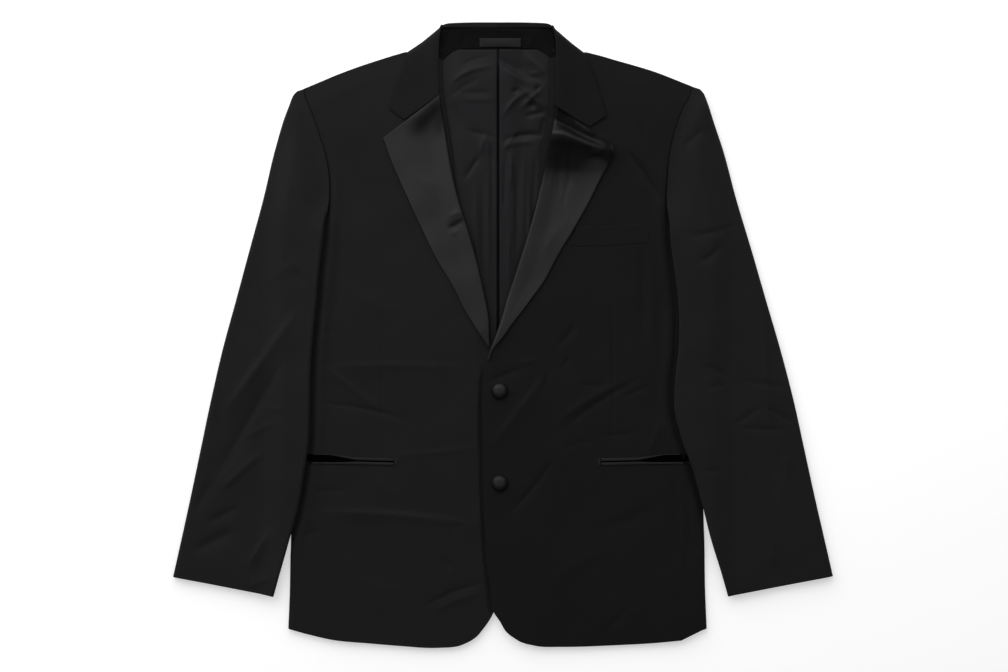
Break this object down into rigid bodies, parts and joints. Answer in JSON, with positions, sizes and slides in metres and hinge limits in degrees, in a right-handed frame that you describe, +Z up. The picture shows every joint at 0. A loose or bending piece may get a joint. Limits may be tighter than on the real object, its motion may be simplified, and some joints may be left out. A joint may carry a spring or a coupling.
{
  "type": "dinner jacket",
  "caption": "Men's single-breasted dinner jacket (a blazer with satin notch lapels), buttoned and laid flat on its back with its sleeves straight down at the sides.",
  "frame": {"origin": "middle of the bounding box, on the surface the jacket lies on", "axes": "+X towards the wearer's left, across the sleeves; +Y from the hem towards the collar; +Z up out of the surface, through the back and then the fronts"},
  "size_m": [0.8448, 0.8011, 0.0191],
  "materials": {
    "wool": "black fine wool, matte",
    "satin": "black satin, soft sheen",
    "lining": "black lining, slight sheen"
  },
  "bodies": {
    "root": {"back_left": "wool", "back_right": "wool", "side_left": "wool", "side_right": "wool", "front_left": "wool", "front_right": "wool", "collar_left": "wool", "collar_right": "wool", "collar_stand": "wool", "top_sleeve_left": "wool", "top_sleeve_right": "wool", "under_sleeve_left": "wool", "under_sleeve_right": "wool", "breast_welt": "wool", "lapel_left": "satin", "lapel_right": "satin", "pocket_jet_upper_left": "satin", "pocket_jet_lower_left": "satin", "pocket_jet_upper_right": "satin", "pocket_jet_lower_right": "satin", "button_upper": "satin", "button_lower": "satin", "neck_tab": "satin", "lining_left": "lining", "lining_right": "lining"}
  },
  "joints": []
}
